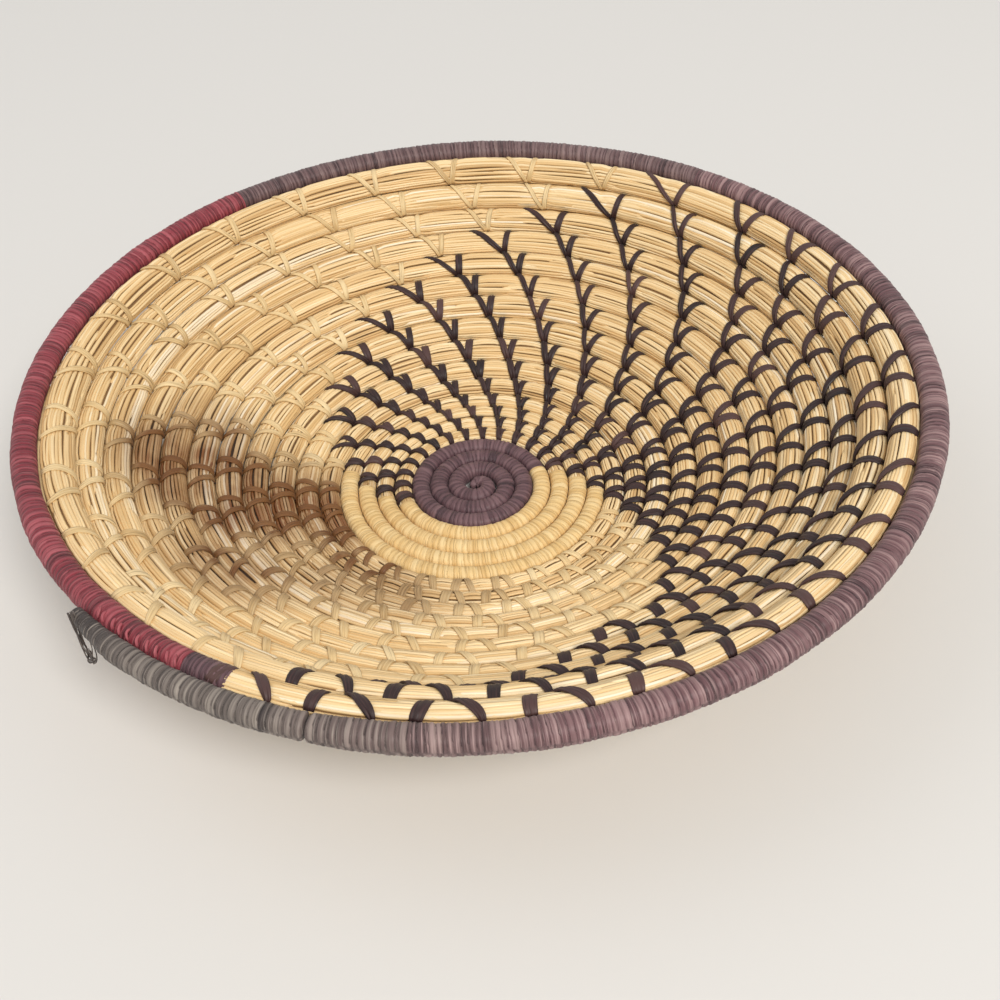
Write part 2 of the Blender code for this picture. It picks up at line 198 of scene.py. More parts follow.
def coil_frame(turn):
    """Middle of the coil, its directions across and up, and its half sizes, for an array of turns."""
    turn = np.asarray(turn, float)
    azimuth = np.radians(END_AZIMUTH + (END_TURN - turn) * 360.0)
    outward = np.stack((np.cos(azimuth), np.sin(azimuth), np.zeros_like(turn)), -1)
    inner, outer = (outward * radius_at(seam)[..., None] + UP * seam_height(seam)[..., None]
                    for seam in (turn - 0.5, turn + 0.5))
    across = unit(outer - inner)
    up = UP * (across * outward).sum(-1)[..., None] - outward * across[..., 2:]
    full = (np.linalg.norm(outer - inner, axis=-1) - COIL_GAP) / 2
    width = full * np.interp(turn, START_TURNS, START_SHARES) * np.interp(turn, TAIL_TURNS, TAIL_SHARES)
    middle = (inner + outer) / 2 + MIDDLE
    middle = middle - across * np.where(turn > TAIL_TURNS[0], full - width, 0.0)[..., None]
    return middle, across, up, width, width * HEIGHT_SHARE


def width_near(first, last):
    """Half width of the coil halfway between two turns."""
    return float(coil_frame(np.array([(first + last) / 2]))[3][0])


def coil_point(turn, angle, grow):
    """Point on the coil's skin, and the direction out of it. Angle 90 is the crest and 0 the outer seam."""
    middle, across, up, width, height = coil_frame(turn)
    c, s = np.cos(np.radians(angle)), np.sin(np.radians(angle))
    x = np.sign(c) * np.abs(c) ** (2 / BUNDLE_POWER)
    y = np.sign(s) * np.abs(s) ** (2 / BUNDLE_POWER)
    point = middle + across * ((width + grow) * x)[..., None] + up * ((height + grow) * y)[..., None]
    return point, across * c[..., None] + up * s[..., None]


def stitch_list():
    """Row, turn and azimuth of the apex and whether dark, for each stitch, inmost first."""
    reach = int(360 / CLOSE_SPACING)
    lines = [SPACING_CHANGE + (CLOSE_SPACING if n < 0 else WIDE_SPACING) * n for n in range(-reach, reach)]
    stitches, ends = [], {}
    for row in range(1, STITCHED_ROWS + 1):
        apexes = [line - DRIFT * (row - 1) for line in lines]
        dark = [apex for apex in apexes if dark_start(row) <= apex <= dark_end(row)]
        stitches += [(row, turn_at(row, apex), apex, True) for apex in dark]
        ends[row] = (dark[0], dark[-1])
    for row in range(1, SMOOTH_ROWS[-1] - 1):
        begin, end = ends[row][1], ends[row + 1][0] + 360.0
        count = round((end - begin) / WIDE_SPACING)
        apexes = [begin + (end - begin) * i / count for i in range(1, count)]
        stitches += [(row, turn_at(row, apex), apex, False) for apex in apexes]
    return sorted(stitches, key=lambda stitch: stitch[1])


def by_place(azimuth, places, values):
    """A value that changes round the bowl."""
    return np.interp((np.asarray(azimuth) - PLACES_START) % 360.0 + PLACES_START, places, values)


STITCHES = stitch_list()
APEX_TURNS = np.array([stitch[1] for stitch in STITCHES])
TIE_TURNS = APEX_TURNS + by_place([stitch[2] for stitch in STITCHES], TIE_PLACES, TIE_OFFSETS) / 360.0


def covered(turn):
    """1 where a smooth binding covers the bundle, 0 where its stems are seen."""
    hidden = np.zeros(np.shape(turn))
    for row in SMOOTH_ROWS:
        first, last = turn_at(row, dark_start(row)), turn_at(row - 1, dark_end(row - 1))
        hidden = np.maximum(hidden, np.clip(np.minimum(turn - first, last - turn) * COVER_SHARPNESS, 0, 1))
    return hidden


def tightness(turn, angle):
    """How tightly the bundle is drawn in at a point of its upper side: 1 under a stitch, 0 between."""
    across_share = (1.0 + np.cos(np.radians(angle))) / 2
    near = np.clip(np.searchsorted(APEX_TURNS, turn), 1, len(APEX_TURNS) - 2)
    least = np.full(np.shape(turn), 1.0)
    for shift in (-1, 0, 1):
        for starts, lean in ((APEX_TURNS, DRIFT), (TIE_TURNS, TIE_DRIFT)):
            least = np.minimum(least, np.abs(turn - starts[near + shift] + lean * across_share / 360.0))
    distance = least * math.tau * radius_at(turn)
    crest_share = np.clip(np.abs(np.sin(np.radians(angle))) * PINCH_SPREAD, 0.0, 1.0)
    return np.exp(-(distance / PINCH_REACH) ** 2) * crest_share


def smooth_noise(rng, count, step, reach):
    """Values from -1 to 1 that wander over a run of points that are step apart."""
    knots = rng.uniform(-1, 1, int(count * step / reach) + 4)
    at = np.arange(count) * step / reach + rng.uniform(0, 1)
    low = np.floor(at).astype(int)
    share = at - low
    share = share * share * (3 - 2 * share)
    return knots[low] * (1 - share) + knots[low + 1] * share


class Batch:
    """Gathers rings of points into one mesh, with a tone and a grain position at each point."""

    def __init__(self):
        self.points, self.faces, self.tones, self.grains, self.count = [], [], [], [], 0

    def skin(self, rings, tone, grain):
        """Adds a closed skin over rings of points, with a cap at each end."""
        rows, columns = rings.shape[:2]
        index = np.arange(rows * columns).reshape(rows, columns) + self.count
        following = np.roll(index, -1, 1)
        quads = np.stack((index[:-1], following[:-1], following[1:], index[1:]), -1)
        self.faces.extend(quads.reshape(-1, 4).tolist())
        self.faces.append(index[0][::-1].tolist())
        self.faces.append(index[-1].tolist())
        self.points.append(rings.reshape(-1, 3))
        self.tones.append(np.broadcast_to(tone, (rows, columns)).ravel())
        self.grains.append(np.broadcast_to(grain, (rows, columns, 3)).reshape(-1, 3))
        self.count += rows * columns

    def piece(self, name, material, slot, replaces=()):
        """Makes the mesh and says what it rides on, and the nodes that it stands in for. The slot is not
        used.
        """
        mesh = bpy.data.meshes.new(name)
        points = np.concatenate(self.points)
        points[:, 2] = np.maximum(points[:, 2], LOWEST)
        mesh.from_pydata(points.tolist(), [], self.faces)
        tone = mesh.attributes.new("tone", "FLOAT", "POINT")
        tone.data.foreach_set("value", np.concatenate(self.tones).astype(np.float32))
        grain = mesh.attributes.new("grain", "FLOAT_VECTOR", "POINT")
        grain.data.foreach_set("vector", np.concatenate(self.grains).astype(np.float32).ravel())
        mesh.materials.append(material)
        mesh.shade_smooth()
        item = bpy.data.objects.new(name, mesh)
        bpy.context.scene.collection.objects.link(item)
        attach(item, "root")
        if replaces:
            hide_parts(*replaces)


def make_node(tree, kind, inputs=None, **settings):
    """A shader node; an input is linked where its value is a socket, and set otherwise."""
    item = tree.nodes.new(kind)
    for name, value in settings.items():
        setattr(item, name, value)
    for name, value in (inputs or {}).items():
        if isinstance(value, bpy.types.NodeSocket):
            tree.links.new(value, item.inputs[name])
        else:
            item.inputs[name].default_value = value
    return item


def ramp(tree, factor, stops):
    """Colour along a list of (position, colour)."""
    item = make_node(tree, "ShaderNodeValToRGB", {"Fac": factor})
    elements = item.color_ramp.elements
    while len(elements) < len(stops):
        elements.new(0.5)
    for element, (position, colour) in zip(elements, stops):
        element.position = position
        element.color = (*colour, 1.0)
    return item.outputs["Color"]


def noise(tree, place, scale, detail):
    item = make_node(tree, "ShaderNodeTexNoise", {"Vector": place, "Scale": scale, "Detail": detail})
    return item.outputs["Fac"]


def grain_noise(tree, grain, scale, detail=3.0):
    """Noise over the grain position, scaled apart along, across and between strips."""
    scaled = make_node(tree, "ShaderNodeVectorMath", {0: grain, 1: scale}, operation="MULTIPLY")
    return noise(tree, scaled.outputs[0], 1.0, detail)


def to_range(tree, value, low, high, new_low, new_high):
    item = make_node(tree, "ShaderNodeMapRange", {"Value": value, "From Min": low, "From Max": high,
                                                   "To Min": new_low, "To Max": new_high})
    return item.outputs["Result"]


def joined(tree, a, b, operation, **settings):
    """Two values joined by a sum, product or the like."""
    return make_node(tree, "ShaderNodeMath", {0: a, 1: b}, operation=operation, **settings).outputs[0]


def object_place(tree):
    return make_node(tree, "ShaderNodeTexCoord").outputs["Object"]


def distance_from(tree, place, centre):
    item = make_node(tree, "ShaderNodeVectorMath", {0: place, 1: centre}, operation="DISTANCE")
    return item.outputs["Value"]


def mix_colour(tree, factor, a, b, blend="MIX"):
    item = make_node(tree, "ShaderNodeMix", data_type="RGBA", blend_type=blend)
    for index, value in ((0, factor), (6, a), (7, b)):
        if isinstance(value, bpy.types.NodeSocket):
            tree.links.new(value, item.inputs[index])
        else:
            item.inputs[index].default_value = value if index == 0 else (*value, 1.0)
    return item.outputs[2]


def start_material(name):
    """A new material with its nodes for the tone and the grain position of each point."""
    material = bpy.data.materials.new(name)
    material.use_nodes = True
    tree = material.node_tree
    tone = make_node(tree, "ShaderNodeAttribute", attribute_name="tone").outputs["Fac"]
    grain = make_node(tree, "ShaderNodeAttribute", attribute_name="grain").outputs["Vector"]
    return material, tree, tree.nodes["Principled BSDF"], tone, grain


# The stain: centre, size and strength of each blob, and more of them for the straps
STAIN_BLOBS = (((-0.104, -0.008, 0.026), 0.031, 1.0), ((-0.082, -0.018, 0.015), 0.036, 1.0),
               ((-0.058, -0.014, 0.008), 0.027, 0.75), ((-0.084, -0.050, 0.022), 0.030, 0.65),
               ((-0.058, -0.050, 0.011), 0.027, 0.55), ((-0.034, -0.058, 0.009), 0.026, 0.50),
               ((-0.100, 0.016, 0.026), 0.020, 0.6))
STRAP_STAIN_BLOBS = (((-0.046, -0.030, 0.005), 0.030, 0.8), ((-0.020, -0.050, 0.006), 0.026, 0.45))
BLOB_OUTER_SHARE, BLOB_INNER_SHARE, STAIN_SCALE = 1.25, 0.35, 42.0


def stain_mask(tree, blobs=STAIN_BLOBS):
    """Old water stain on the left of the bowl: a ragged brown patch."""
    place = object_place(tree)
    ragged = noise(tree, place, STAIN_SCALE, 4.0)
    total = None
    for centre, size, strength in blobs:
        outer, inner = size * BLOB_OUTER_SHARE, size * BLOB_INNER_SHARE
        blob = to_range(tree, distance_from(tree, place, centre), outer, inner, 0.0, strength)
        total = blob if total is None else joined(tree, total, blob, "MAXIMUM")
    return joined(tree, total, to_range(tree, ragged, 0.36, 0.60, 0.62, 1.3), "MULTIPLY", use_clamp=True)


def add_bump(tree, shader, height, strength, distance):
    bump = make_node(tree, "ShaderNodeBump", {"Height": height, "Strength": strength, "Distance": distance})
    tree.links.new(bump.outputs["Normal"], shader.inputs["Normal"])


# Noise of each material: scales along, across and between stems or strips
STREAK_SCALES, PATCH_SCALES, CORE_NOISE_SCALES = (60.0, 2600.0, 2600.0), (45.0, 60.0, 60.0), (50.0, 1400.0, 1400.0)
FIBRE_SCALES, WEAR_SCALES = (80.0, 1900.0, 900.0), (240.0, 500.0, 300.0)
# How far each pattern covers the colour under it
STREAK_COVER, PATCH_COVER, FIBRE_AND_HIGHLIGHT_COVER, FURROW_SHADE_COVER, WEAR_COVER = 0.42, 0.35, 0.75, 0.8, 0.12
# Strength and depth of the bumps, roughness, reflection and sheen
STRAW_BUMP, CORE_BUMP, RAFFIA_BUMP = (0.35, 0.00025), (0.6, 0.0005), (0.7, 0.0003)
STRAW_ROUGHNESS, CORE_ROUGHNESS, RAFFIA_ROUGHNESS = (0.36, 0.58), 0.8, (0.42, 0.66)
STRAW_SPECULAR, RAFFIA_SPECULAR, RAFFIA_SHEEN, SHEEN_ROUGHNESS = 0.42, 0.32, 0.05, 0.45

# Colours of the grass, inside and out: tones as (position, colour); the dark inside is painted shade between
# the stems
STRAW_TONES = ((0.0, (0.46, 0.27, 0.11)), (0.2, (0.72, 0.49, 0.23)), (0.5, (0.85, 0.635, 0.345)),
               (0.85, (0.92, 0.75, 0.47)), (1.0, (0.94, 0.83, 0.63)))
STRAW_STREAK, STRAW_PATCH, STRAW_STAIN = (0.60, 0.385, 0.165), (0.70, 0.47, 0.22), (0.25, 0.130, 0.07)
CORE_SHADE_TONES, CORE_STAIN = ((0.3, (0.12, 0.060, 0.022)), (0.7, (0.34, 0.195, 0.08))), (0.035, 0.016, 0.007)


def straw_material():
    """Dry grass stems: each its own straw tone, streaked along its length."""
    material, tree, shader, tone, grain = start_material("dry_grass")
    base = ramp(tree, tone, STRAW_TONES)
    streak = grain_noise(tree, grain, STREAK_SCALES)
    colour = mix_colour(tree, to_range(tree, streak, 0.35, 0.7, 0.0, STREAK_COVER), base, STRAW_STREAK)
    patch = grain_noise(tree, grain, PATCH_SCALES, 2.0)
    colour = mix_colour(tree, to_range(tree, patch, 0.5, 0.75, 0.0, PATCH_COVER), colour, STRAW_PATCH)
    stain = joined(tree, stain_mask(tree), to_range(tree, tone, 0.5, 0.9, 1.0, 0.7), "MULTIPLY")
    colour = mix_colour(tree, stain, colour, mix_colour(tree, 1.0, colour, STRAW_STAIN, "MULTIPLY"))
    tree.links.new(colour, shader.inputs["Base Color"])
    tree.links.new(to_range(tree, streak, 0.3, 0.7, *STRAW_ROUGHNESS), shader.inputs["Roughness"])
    shader.inputs["Specular IOR Level"].default_value = STRAW_SPECULAR
    add_bump(tree, shader, streak, *STRAW_BUMP)
    return material


def core_material():
    """The inside of the bundle, seen only between stems, coloured dark brown as painted shade between them.
    """
    material, tree, shader, _, grain = start_material("bundle_inside")
    core_noise = grain_noise(tree, grain, CORE_NOISE_SCALES)
    # Painted shade: the dark ramp stands for the shade in the gaps between stems
    colour = ramp(tree, core_noise, CORE_SHADE_TONES)
    colour = mix_colour(tree, to_range(tree, stain_mask(tree), 0.0, 0.6, 0.0, 1.0), colour, CORE_STAIN)
    tree.links.new(colour, shader.inputs["Base Color"])
    shader.inputs["Roughness"].default_value = CORE_ROUGHNESS
    add_bump(tree, shader, core_noise, *CORE_BUMP)
    return material


# Raffia by use: name, position of the middle tone, dark, middle and light tone, and the tint of the pale
# fibre streaks, partly the fibres' own colour and partly painted highlight
RAFFIA = {
    "dark": (
        "dark_stitch_raffia", 0.6,
        (0.012, 0.005, 0.005), (0.027, 0.011, 0.011), (0.088, 0.044, 0.040), (0.082, 0.040, 0.038)),
    "natural": (
        "natural_stitch_raffia", 0.5,
        (0.57, 0.38, 0.17), (0.74, 0.535, 0.27), (0.85, 0.67, 0.39), (0.87, 0.70, 0.42)),
    "smooth": (
        "natural_wrap_raffia", 0.5,
        (0.66, 0.42, 0.16), (0.80, 0.55, 0.24), (0.88, 0.66, 0.34), (0.88, 0.68, 0.38)),
    "rim_wrap_start": (
        "disc_raffia", 0.5,
        (0.044, 0.022, 0.028), (0.108, 0.054, 0.064), (0.185, 0.105, 0.115), (0.20, 0.12, 0.13)),
    "rim_wrap_maroon": (
        "rim_maroon_raffia", 0.5,
        (0.075, 0.010, 0.016), (0.225, 0.027, 0.041), (0.41, 0.095, 0.115), (0.46, 0.155, 0.165)),
    "rim_wrap_charcoal": (
        "rim_charcoal_raffia", 0.5,
        (0.042, 0.022, 0.025), (0.125, 0.070, 0.072), (0.23, 0.155, 0.15), (0.29, 0.20, 0.20)),
    "rim_wrap_plum": (
        "rim_plum_raffia", 0.5,
        (0.044, 0.020, 0.024), (0.155, 0.076, 0.084), (0.33, 0.205, 0.205), (0.45, 0.31, 0.30)),
    "rim_wrap_tail": (
        "rim_grey_raffia", 0.5,
        (0.030, 0.022, 0.021), (0.145, 0.118, 0.105), (0.30, 0.26, 0.225), (0.36, 0.31, 0.27)),
}
# Darkening for the painted shade in the furrows between fibres, and for the real stain
RAFFIA_FURROW_SHADE, RAFFIA_STAIN = (0.42, 0.38, 0.34), (0.24, 0.135, 0.075)
# Where the plum binding of the rim fades into its grey tail, and how far on each side
FADES = {"rim_wrap_plum": "rim_wrap_tail", "rim_wrap_tail": "rim_wrap_plum"}
FADE_PLACE, FADE_REACH = (-0.024, -0.152, 0.060), 0.045


def raffia_tones(use):
    _, position, dark, middle, light, _ = RAFFIA[use]
    return (0.0, dark), (position, middle), (1.0, light)


def raffia_material(use):
    """A strip of raffia: a tone of its own and fine fibres along it, whose pale streaks are partly painted
    highlight, with painted shade in the furrows between.
    """
    material, tree, shader, tone, grain = start_material(RAFFIA[use][0])
    base = ramp(tree, tone, raffia_tones(use))
    if use in FADES:
        fade = to_range(tree, distance_from(tree, object_place(tree), FADE_PLACE), 0.0, FADE_REACH, 0.5, 0.0)
        base = mix_colour(tree, fade, base, ramp(tree, tone, raffia_tones(FADES[use])))
    fibre = grain_noise(tree, grain, FIBRE_SCALES, 4.0)
    # Pale fibre streaks: partly the fibres' own colour, partly painted highlight
    colour = mix_colour(tree, to_range(tree, fibre, 0.50, 0.72, 0.0, FIBRE_AND_HIGHLIGHT_COVER), base, RAFFIA[use][-1])
    # Painted shade: the low places of the fibre pattern, which the bump sinks, are darkened as furrows
    furrow = mix_colour(tree, 1.0, colour, RAFFIA_FURROW_SHADE, "MULTIPLY")
    colour = mix_colour(tree, to_range(tree, fibre, 0.44, 0.30, 0.0, FURROW_SHADE_COVER), colour, furrow)
    wear = grain_noise(tree, grain, WEAR_SCALES, 2.0)
    colour = mix_colour(tree, to_range(tree, wear, 0.35, 0.75, WEAR_COVER, 0.0), colour, (0.0, 0.0, 0.0))
    if use == "natural":
        stain = to_range(tree, stain_mask(tree, STAIN_BLOBS + STRAP_STAIN_BLOBS), 0.0, 0.7, 0.0, 1.0)
        colour = mix_colour(tree, stain, colour, mix_colour(tree, 1.0, colour, RAFFIA_STAIN, "MULTIPLY"))
    tree.links.new(colour, shader.inputs["Base Color"])
    tree.links.new(to_range(tree, fibre, 0.35, 0.7, *RAFFIA_ROUGHNESS), shader.inputs["Roughness"])
    shader.inputs["Sheen Weight"].default_value = RAFFIA_SHEEN
    shader.inputs["Sheen Roughness"].default_value = SHEEN_ROUGHNESS
    shader.inputs["Specular IOR Level"].default_value = RAFFIA_SPECULAR
    add_bump(tree, shader, fibre, *RAFFIA_BUMP)
    return material


def lay_stem(batch, rng, first, last, angle, radius, step, top):
    """One stem along the bundle's skin, from one turn to another; both ends dip into the bundle."""
    run = length_at(last) - length_at(first)
    count = max(int(run / step), 4)
    distance = np.linspace(0.0, run, count)
    turn = turn_of(length_at(first) + distance)
    angles = angle + smooth_noise(rng, count, run / count, WANDER_REACH) * STEM_WANDER
    tight = tightness(turn, angles if top else -angles)
    crest = np.where(angles < 180, 90, 270)
    angles = crest + (angles - crest) * (1 - STEM_GATHER * tight)
    dip = np.clip(np.minimum(distance, run - distance) / STEM_END, 0.0, 1.0)
    bulge, pinch = (BULGE, 1.0) if top else (BULGE / 2, UNDER_PINCH)
    uneven = smooth_noise(rng, count, run / count, UNEVEN_REACH) * STEM_UNEVENNESS
    grow = (bulge - (PINCH_DEPTH + bulge) * tight * pinch + uneven
            - radius - (1 - dip) * END_DIP - covered(turn) * COVERED_DIP)
    middle, outward = coil_point(turn, angles, grow)
    _, across, up, _, _ = coil_frame(turn)
    sideways = (across * -np.sin(np.radians(angles))[:, None] + up * np.cos(np.radians(angles))[:, None])
    swell = smooth_noise(rng, count, run / count, SWELL_REACH) * STEM_SWELL
    radii = radius * (1 + swell) * (0.5 + 0.5 * dip)
    around = np.arange(STEM_SIDES) * math.tau / STEM_SIDES + rng.uniform(0, 1)
    c, s = np.cos(around), np.sin(around)
    rings = (middle[:, None] + outward[:, None] * (radii[:, None] * c)[..., None]
             + sideways[:, None] * (radii[:, None] * s)[..., None])
    tone = rng.beta(3.2, 2.6)
    if rng.uniform() < BROWN_STEMS:
        tone *= BROWN_TONE
    if rng.uniform() < PALE_STEMS:
        tone = 1.0
    place = rng.uniform(0, 50)
    grain = np.broadcast_arrays(distance[:, None] + place, radius * c, radius * s + place)
    batch.skin(rings, tone, np.stack(grain, -1))


def make_stems(material):
    """The grass stems on the upper side and the underside of each unbound row."""
    rng = np.random.default_rng(SEEDS["stems"])
    for first, last, tops, unders, parts in STEM_GROUPS:
        for side, tracks, step in (("inside", tops, INSIDE_STEP), ("under", unders, UNDER_STEP)):
            batches = [Batch() for _ in parts]
            low, high = length_at(first), length_at(last)
            radius = math.pi * width_near(first, last) / tracks / 2 * STEM_FULLNESS
            for track in range(tracks):
                share = (track + 0.5) / tracks
                base = TRACK_START + TRACK_SPAN * share + (0 if side == "inside" else 180)
                at = low - rng.uniform(0, FIRST_SCATTER)
                while at < high - LAST_START:
                    run = rng.uniform(*STEM_RUN)
                    begin, end = max(at, low), min(at + run, high)
                    if end - begin > SHORTEST_STEM:
                        part = int((begin - low) / (high - low) * len(parts))
                        angle = base + rng.uniform(-TRACK_CHANGE, TRACK_CHANGE)
                        lay_stem(batches[part], rng, turn_of(begin), turn_of(end), angle,
                                 radius * rng.uniform(*STEM_SIZES), step, side == "inside")
                    at += run - rng.uniform(*STEM_OVERLAP)
            for part, batch in zip(parts, batches):
                batch.piece(f"stems_{part}_{side}", material, "sweetgrass")


def make_core(material):
    """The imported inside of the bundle, just under the outer stems."""
    batch = Batch()
    low, high = (length_at(turn) for turn in CORE_TURNS)
    distance = np.linspace(low, high, int((high - low) / CORE_STEP))
    around = np.arange(CORE_SIDES) * 360.0 / CORE_SIDES
    turns, angles = np.meshgrid(turn_of(distance), around, indexing="ij")
    tight = np.where(angles < 180, tightness(turns, angles), CORE_TIGHTNESS)
    grow = -CORE_DEPTH - PINCH_DEPTH * tight - COVERED_CORE_DIP * covered(turns)
    rings, _ = coil_point(turns, angles, grow)
    radians = np.radians(angles)
    grain = np.broadcast_arrays(distance[:, None], CORE_GRAIN * np.cos(radians), CORE_GRAIN * np.sin(radians))
    batch.skin(rings, CORE_TONE, np.stack(grain, -1))
    batch.piece("bundle_core", material, "sweetgrass", ("foundation_coil",))


def lay_straps(batch, rng, strap, turns, drift, angles, shares, steps, tones):
    """Straps over the bundle: each runs between two angles of the section and leans by its drift."""
    width, thickness, lift, ridges, end_widths = strap
    widths = width * shares
    count = len(turns)
    along = np.linspace(0.0, 1.0, steps)
    angle = np.broadcast_to(angles[0] + (angles[1] - angles[0]) * along, (count, steps))
    share = (1 + np.cos(np.radians(angle))) / 2
    wander = rng.uniform(-STRAP_WANDER, STRAP_WANDER, (count, 1)) * np.sin(math.pi * along)
    turn = turns[:, None] - (np.broadcast_to(drift, (count,))[:, None] * share + wander) / 360.0
    arch = np.sin(math.pi * along) ** STRAP_ARCH
    grow = lift * arch + rng.uniform(*LIFT_CHANGES, (count, 1)) * arch
    centre, outward = coil_point(turn, angle, grow)
    forward = unit(np.gradient(centre, axis=1))
    sideways = unit(np.cross(forward, outward))
    square = np.cross(sideways, forward)
    outward = unit(square) * np.sign((square * outward).sum(-1, keepdims=True))
    end = end_widths[0] * (1 - along) + end_widths[1] * along
    full = (widths * rng.uniform(*WIDTH_CHANGES, count))[:, None] * (end + (1 - end) * arch)
    columns = np.linspace(-1.0, 1.0, PROFILE_COLUMNS)
    offset = rng.uniform(0, math.tau, (count, 1, 1))
    crown = np.sqrt(np.clip(1 - (columns * CROWN_REACH) ** 2, 0, 1)) ** CROWN_POWER
    furrow = RIDGE_SHARE * np.cos(ridges * math.pi * columns + offset) * (1 - np.abs(columns) ** 4)
    height = np.broadcast_to(thickness * (crown + furrow), (count, steps, PROFILE_COLUMNS))
    top = (centre[:, :, None] + sideways[:, :, None] * (full[:, :, None] / 2 * columns)[..., None]
           + outward[:, :, None] * height[..., None])
    low = [(centre + sideways * (full / 2 * edge)[..., None] - outward * STRAP_DEPTH)[:, :, None]
           for edge in (FOOT_SHARE, -FOOT_SHARE)]
    rings = np.concatenate((top, *low), 2)
    span = np.linalg.norm(np.diff(centre, axis=1), axis=-1)
    run = np.concatenate((np.zeros((count, 1)), np.cumsum(span, 1)), 1)
    for i in range(count):
        grain = np.zeros((steps, PROFILE_COLUMNS + 2, 3))
        grain[:, :, 0] = run[i][:, None]
        grain[:, :PROFILE_COLUMNS, 1] = columns * widths[i] / 2
        grain[:, PROFILE_COLUMNS:, 1] = widths[i]
        grain[:, :, 2] = i * STRAP_GRAIN_STEP
        batch.skin(rings[i], tones[i], grain)


def make_stitches(materials):
    """Forked stitches: a long arched arm that runs on into the next row, and a flat double tie beside it."""
    rng = np.random.default_rng(SEEDS["stitches"])

    def near_tone():
        return np.clip(tones + rng.normal(0, TONE_CHANGE, count), 0, 1)

    for label in ("dark", "natural"):
        dark, material, slot = label == "dark", materials[label], f"{label}_raffia"
        chosen = [i for i, stitch in enumerate(STITCHES) if stitch[3] == dark]
        count, turns = len(chosen), APEX_TURNS[chosen]
        rows, azimuths = np.array([(STITCHES[i][0], STITCHES[i][2]) for i in chosen]).T
        share = by_place(azimuths, STRAP_PLACES, STRAP_SHARES)
        share = np.where(turns < SMALL_STRAP_TURN, np.maximum(share, SMALL_STRAP_SHARE), share)
        share = share * np.clip((turns - NARROW_START) / NARROW_TURNS, LEAST_START_SHARE, 1.0)
        tones = rng.normal(MIDDLE_TONE, TONE_SPREAD, count)
        lean, replaced = np.full(count, DRIFT), ()
        if dark:
            tones = tones + np.where(rows == 1, FIRST_ROW_PALENESS, 0.0)
            last = np.array([azimuths[rows == row].max() for row in rows])
            lean = np.where((azimuths == last) & (rows < FORK_ROWS), FORK_LEAN, DRIFT)
            replaced = tuple(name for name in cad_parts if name.startswith("dark_stitches"))
        tones = np.clip(tones, 0, 1)
        ties, arms, under = Batch(), Batch(), Batch()
        tie_drift = TIE_DRIFT + rng.uniform(-TIE_DRIFT_CHANGE, TIE_DRIFT_CHANGE, count)
        lay_straps(ties, rng, TIE_STRAPS[label], TIE_TURNS[chosen], tie_drift, TIE_ANGLES, share, TIE_STEPS,
                   near_tone())
        ties.piece(f"{label}_ties_inside", material, slot)
        lay_straps(arms, rng, ARM_STRAPS[label], turns, lean, ARM_ANGLES, share, ARM_STEPS, tones)
        arms.piece(f"{label}_arms_inside", material, slot, replaced)
        lay_straps(under, rng, UNDER_STRAP, turns, UNDER_DRIFT, UNDER_ANGLES,
                   np.maximum(share, LEAST_UNDER_SHARE), UNDER_STEPS, near_tone())
        under.piece(f"{label}_stitches_under", material, slot)


def bind(name, first, last, material, slot, seed, rib, thickness, sides, step, base, lumps, groove=None):
    """A strip wound closely round the coil, each turn lapping the last. A groove is a turn where it parts."""
    rng = np.random.default_rng(seed)
    low, high = length_at(first), length_at(last)
    count = int((high - low) / step) + 2
    distance = np.linspace(low, high, count)
    around = np.arange(sides) * 360.0 / sides
    edges = [low - STRIP_MARGIN]
    while edges[-1] < high + STRIP_MARGIN:
        edges.append(edges[-1] + rng.uniform(*rib))
    edges = np.array(edges)
    strips = len(edges)
    levels = rng.uniform(-1, 1, strips)
    tones = np.clip(rng.normal(MIDDLE_TONE, TONE_SPREAD, strips), 0, 1)
    leans, ridges = rng.uniform(-1, 1, strips), rng.uniform(0, math.tau, strips)
    lengths, angles = np.meshgrid(distance, around, indexing="ij")
    swing = smooth_noise(rng, count, step, LEAN_REACH)[:, None] * STRIP_LEAN
    swing = swing * np.sin(np.radians(angles) + 1.0)
    at = lengths - sum(rib) / 2 * angles / 360.0 + swing
    strip = np.clip(np.searchsorted(edges, at) - 1, 0, strips - 2)
    width = edges[strip + 1] - edges[strip]
    share = (at - edges[strip]) / width
    lap = (1 - share) * LAP_STEP + np.sin(math.pi * np.clip(share, 0, 1)) ** LAP_POWER * LAP_CROWN
    fold = (FOLD * np.cos(share * FOLD_WAVES + ridges[strip])
            + TWIST * leans[strip] * np.sin(np.radians(angles) * 2 + ridges[strip]))
    grow = (base + thickness * (lap + fold) + levels[strip] * STRIP_LEVEL
            + smooth_noise(rng, count, step, LUMP_REACH)[:, None] * lumps)
    parted = 0.0 if groove is None else np.exp(-((lengths - length_at(groove)) / GROOVE_WIDTH) ** 2)
    rings, _ = coil_point(turn_of(lengths), angles, grow - GROOVE_DEPTH * parted)
    grain = np.stack((np.radians(angles) * width_near(first, last), share * width,
                      strip * STRIP_GRAIN_STEP), -1)
    knotted = np.clip((turn_of(lengths) - END_TURN + KNOT_START) / KNOT_BLEND, 0, 1)
    # Painted shade: the tone follows the lap, darker where each strip dips under the next and lighter on its
    # crown, and goes to black in the groove. The knot's darkening is the raffia's own dark colour.
    shade = tones[strip] + (lap - SHADE_LEVEL) * SHADE_SHARE
    shade = shade * (1 - KNOT_DARKNESS * knotted) * (1 - parted)
    batch = Batch()
    batch.skin(rings, np.clip(shade, 0, 1), grain)
    batch.piece(name.replace("wrap", "binding"), material, slot, (name,))


